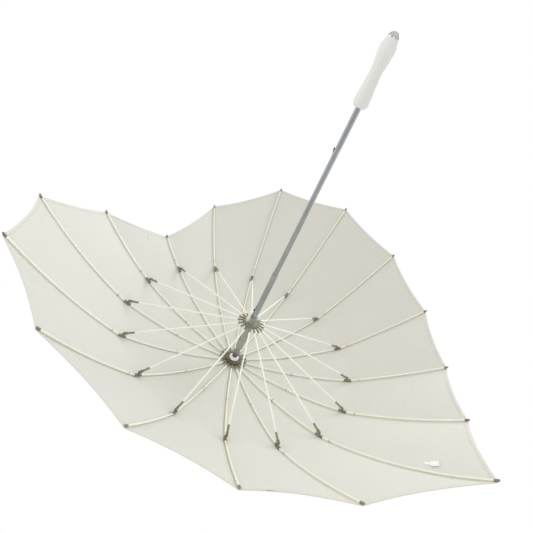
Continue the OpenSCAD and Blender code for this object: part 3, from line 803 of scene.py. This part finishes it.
def make_strap():
    """Closure strap on the cloth's outer side, and the patch inside that its stitches hold."""
    away, from_hem = rectangle(58.5, STRAP_HEM, 10.0, 17.0, 5, 7)
    patch = sewn_piece("strap_patch", STRAP_RIB, STRAP_SIDE, away, from_hem,
                       SEWN_GAP, PATCH_T, CLOTH)
    away, from_hem = rectangle(37.0, STRAP_HEM, 56.0, 18.0, 25, 7)
    strap = sewn_piece("closure_strap", STRAP_RIB, STRAP_SIDE, away, from_hem,
                       -(CLOTH_T + SEWN_GAP + STRAP_T), STRAP_T, CLOTH)


make_label()
make_strap()

# ---------------------------------------------------------------- thread ties, fluting and grip


def tube_mesh(path, side_axis, radius, sides=6):
    """Vertices and faces of a closed tube along a path; side_axis is nearly square to the path."""
    ahead = np.gradient(path, axis=0)
    ahead /= np.linalg.norm(ahead, axis=1)[:, None]
    a = side_axis - (ahead @ side_axis)[:, None] * ahead
    a /= np.linalg.norm(a, axis=1)[:, None]
    b = np.cross(ahead, a)
    turn = np.linspace(0, 2 * math.pi, sides, endpoint=False)
    ring = np.cos(turn)[None, :, None] * a[:, None, :] + np.sin(turn)[None, :, None] * b[:, None, :]
    points = (path[:, None, :] + radius * ring).reshape(-1, 3)
    faces = []
    for i in range(len(path) - 1):
        for j in range(sides):
            q = (j + 1) % sides
            faces.append((i * sides + j, i * sides + q, (i + 1) * sides + q, (i + 1) * sides + j))
    faces.append(tuple(range(sides))[::-1])
    faces.append(tuple(range((len(path) - 1) * sides, len(path) * sides)))
    return points, faces


def ball_mesh(centre, radius, rings=5, sides=8):
    points = [centre + np.array([0, 0, radius])]
    for i in range(1, rings):
        a = math.pi * i / rings
        for j in range(sides):
            b = 2 * math.pi * j / sides
            out = np.array([math.sin(a) * math.cos(b), math.sin(a) * math.sin(b), math.cos(a)])
            points.append(centre + radius * out)
    points.append(centre - np.array([0, 0, radius]))
    faces, last = [], len(points) - 1
    for j in range(sides):
        q = (j + 1) % sides
        faces.append((0, 1 + j, 1 + q))
        for i in range(rings - 2):
            above, under = 1 + i * sides, 1 + (i + 1) * sides
            faces.append((above + j, under + j, under + q, above + q))
        faces.append((last, 1 + (rings - 2) * sides + q, 1 + (rings - 2) * sides + j))
    return np.array(points), faces


def mesh_piece(name, parts, k, material, body):
    """One piece from several closed meshes in rib k's plane frame, in millimetres."""
    points, faces = [], []
    for p, f in parts:
        faces += [tuple(i + len(points) for i in face) for face in f]
        points += p.tolist()
    mesh = bpy.data.meshes.new(name)
    mesh.from_pydata((np.array(points) @ plane_turn(k).T * MM).tolist(), [], faces)
    mesh.materials.append(material)
    mesh.polygons.foreach_set("use_smooth", np.ones(len(mesh.polygons), bool))
    mesh.validate()
    obj = bpy.data.objects.new(name, mesh)
    bpy.context.scene.collection.objects.link(obj)
    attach(obj, body)
    return obj


# Thread ties: turns and their spacing, the thread, and the loop's reach from the rib's middle line
TIE_TURNS, TIE_PITCH, THREAD_R = 4, 0.62, 0.3
TIE_TOP, TIE_BOTTOM, TIE_HALF_WIDE = LIFT + 0.4, -2.05, 2.25
KNOT_DROP, KNOT_R, TURN_STEPS = 0.3, 0.8, 16


def make_tie(name, k, point, slope, body):
    """A few turns of thread round the rib and up through the cloth, with a small knot below."""
    turn = np.linspace(0, 2 * math.pi * TIE_TURNS, TURN_STEPS * TIE_TURNS + 1)
    out, up = along(slope), normal_to(slope)
    middle, swing = (TIE_TOP + TIE_BOTTOM) / 2, (TIE_TOP - TIE_BOTTOM) / 2
    ahead = TIE_PITCH * (turn / (2 * math.pi) - TIE_TURNS / 2)
    high = middle - swing * np.cos(turn)
    flat = point[None, :] + ahead[:, None] * out[None, :] + high[:, None] * up[None, :]
    path = np.stack([flat[:, 0], TIE_HALF_WIDE * np.sin(turn), flat[:, 1]], 1)
    knot = point + up * (TIE_BOTTOM - KNOT_DROP)
    parts = [tube_mesh(path, np.array([out[0], 0, out[1]]), THREAD_R),
             ball_mesh(np.array([knot[0], 0, knot[1]]), KNOT_R)]
    mesh_piece(name, parts, k, MATERIALS["thread"], body)


TIE_INNER_X, TIE_OUTER_ALONG = 135.0, 17.0
for k, number in enumerate(NUMBERS):
    slope = math.asin((TIE_INNER_X - inner_centre[0]) / inner_r)
    point = inner_centre + inner_r * normal_to(slope)
    make_tie("tie_inner_" + number, k, point, slope, "rib_" + number)
    slope = outer[k].start_slope + TIE_OUTER_ALONG / outer[k].r
    point = outer[k].centre + outer[k].r * normal_to(slope)
    make_tie("tie_outer_" + number, k, point, slope, "rib_end_" + number)


def round_row(radius, turn, z):
    """Points round the shaft at height z."""
    return np.stack([radius * np.cos(turn), radius * np.sin(turn), np.full_like(turn, z)], 1)


def make_fluting():
    """Fluted sleeve round the runner's upper barrel, open over its keyway."""
    flutes, steps = 20, 160
    barrel, crest, wall, bevel, worn = 7.42, 0.6, 0.08, 0.5, 0.3
    keyway, half_gap = math.radians(123.75), math.radians(14.5)
    foot, head = 3.1, 75.6
    middle = joints["runner_hinge"]["pos_m"][2] / MM
    low, high = middle + foot, middle + head
    turn = np.linspace(keyway + half_gap, keyway + 2 * math.pi - half_gap, steps + 1)
    wave = barrel + wall + crest * np.abs(np.sin(flutes * turn / 2))
    heights = [low, low + bevel, high - bevel, high]
    outside = [round_row(barrel + (wave - barrel) * w, turn, z)
               for z, w in zip(heights, (worn, 1, 1, worn))]
    inside = [round_row(barrel, turn, z) for z in heights]
    rows = outside + inside[::-1]
    n, points, faces = steps + 1, np.concatenate(rows), []
    for i in range(len(rows)):
        j = (i + 1) % len(rows)
        faces += [(i * n + c, i * n + c + 1, j * n + c + 1, j * n + c) for c in range(steps)]
    faces.append(tuple(i * n for i in range(len(rows))))
    faces.append(tuple(i * n + steps for i in range(len(rows)))[::-1])
    piece = mesh_piece("runner_fluting", [(points, faces)], 0, MATERIALS["runner"],
                       "runner")
    piece.data.polygons.foreach_set("use_smooth", np.zeros(len(piece.data.polygons), bool))


make_fluting()


def make_grip():
    """The lacquered grip as one smooth turned piece, on the CAD grip's own profile and bores.
    Profiles are radius and height; edge is the radius of the rounded rims."""
    sides, rings, edge, rounds = 96, 120, 0.8, 6
    skin_r, level_step = 9.5, 0.02
    co = np.array([v.co for v in nodes["handle_grip"].data.vertices]) / MM
    radius, height = np.hypot(co[:, 0], co[:, 1]), co[:, 2]
    low, high = height.min(), height.max()
    tube_r, tube_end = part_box("lower_tube")[1][0] / MM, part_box("lower_tube")[0][2] / MM
    stud_r, stud_top = 3.0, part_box("handle_cap")[1][2] / MM
    levels = np.unique(np.round(height[radius > skin_r], 2))
    widths = np.array([radius[np.abs(height - z) < level_step].max() for z in levels])
    z = np.linspace(low + edge, high - edge, rings)
    r = np.interp(z, levels, widths)
    for _ in range(rounds):
        r[1:-1] = (r[:-2] + 2 * r[1:-1] + r[2:]) / 4
    turn = np.radians([0, 30, 60, 90])
    foot = np.stack([r[0] - edge + edge * np.sin(turn[:3]),
                     low + edge - edge * np.cos(turn[:3])], 1)
    head = np.stack([r[-1] - edge + edge * np.cos(turn[1:]),
                     high - edge + edge * np.sin(turn[1:])], 1)
    profile = np.concatenate([[(stud_r, stud_top), (stud_r, low)], foot, np.stack([r, z], 1), head,
                              [(tube_r, high), (tube_r, tube_end)]])
    angle = np.linspace(0, 2 * math.pi, sides, endpoint=False)
    points = np.concatenate([round_row(across, angle, level) for across, level in profile]
                            + [[(0, 0, stud_top), (0, 0, tube_end)]])
    first, last, faces = len(points) - 2, len(points) - 1, []
    top = (len(profile) - 1) * sides
    for j in range(sides):
        q = (j + 1) % sides
        faces += [(i * sides + j, i * sides + q, (i + 1) * sides + q, (i + 1) * sides + j)
                  for i in range(len(profile) - 1)]
        faces += [(first, q, j), (last, top + j, top + q)]
    piece = mesh_piece("grip_turned", [(points, faces)], 0, MATERIALS["grip"],
                       "shaft")
    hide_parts("handle_grip")


make_grip()

# ---------------------------------------------------------------- stage and light


def make_floor():
    size, drop = 4.0, 1.0
    low = cad_box[0].z - drop
    mesh = bpy.data.meshes.new("floor")
    mesh.from_pydata([(x * size, y * size, low) for x, y in ((-1, -1), (1, -1), (1, 1), (-1, 1))],
                     [], [(0, 1, 2, 3)])
    floor = bpy.data.objects.new("floor", mesh)
    bpy.context.scene.collection.objects.link(floor)
    p = Paint("floor_pale", 0.7)
    colour = p.ramp(p.noise(3.0), (0.74, 0.74, 0.735), (0.76, 0.76, 0.755))
    mesh.materials.append(p.finish(colour))


def make_world():
    """A white studio with one darker side, so that polished and lacquered pieces look round."""
    dark_side = (0.57, 0.8, -0.15)
    tones = ((0.4, (1.0, 1.0, 1.0)), (0.98, (0.62, 0.61, 0.6)))
    world = bpy.data.worlds.new("studio")
    world.use_nodes = True
    tree = world.node_tree
    coords = tree.nodes.new("ShaderNodeTexCoord")
    facing = tree.nodes.new("ShaderNodeVectorMath")
    facing.operation = "DOT_PRODUCT"
    facing.inputs[1].default_value = dark_side
    tree.links.new(coords.outputs["Generated"], facing.inputs[0])
    ramp = tree.nodes.new("ShaderNodeValToRGB")
    ramp.color_ramp.interpolation = "EASE"
    for stop, (place, colour) in zip(ramp.color_ramp.elements, tones):
        stop.position, stop.color = place, (*colour, 1)
    tree.links.new(facing.outputs["Value"], ramp.inputs["Fac"])
    background = tree.nodes["Background"]
    tree.links.new(ramp.outputs["Color"], background.inputs["Color"])
    background.inputs["Strength"].default_value = 1.0
    bpy.context.scene.world = world


def area_light(name, place, target, size, power, colour):
    light = bpy.data.lights.new(name, "AREA")
    light.shape, light.size, light.energy, light.color = "DISK", size, power, colour
    obj = bpy.data.objects.new(name, light)
    obj.location = place
    obj.rotation_mode = "QUATERNION"
    obj.rotation_quaternion = (Vector(target) - Vector(place)).to_track_quat("-Z", "Y")
    bpy.context.scene.collection.objects.link(obj)


make_floor()
make_world()
# Lights: place, target, size, power and colour
area_light("key", (-0.15, -1.25, -0.15), (-0.25, 0.45, 0.45), 0.8, 10, (0.97, 1, 1))
area_light("fill", (-1.1, 1.1, -0.25), (0.2, -0.3, 0.5), 0.9, 3.6, (1, 0.9, 0.8))
area_light("front", (0.95, 1.35, -0.35), (-0.1, -0.15, 0.55), 0.7, 3.5, (0.93, 1, 1))
bpy.context.scene.view_settings.view_transform = "Standard"
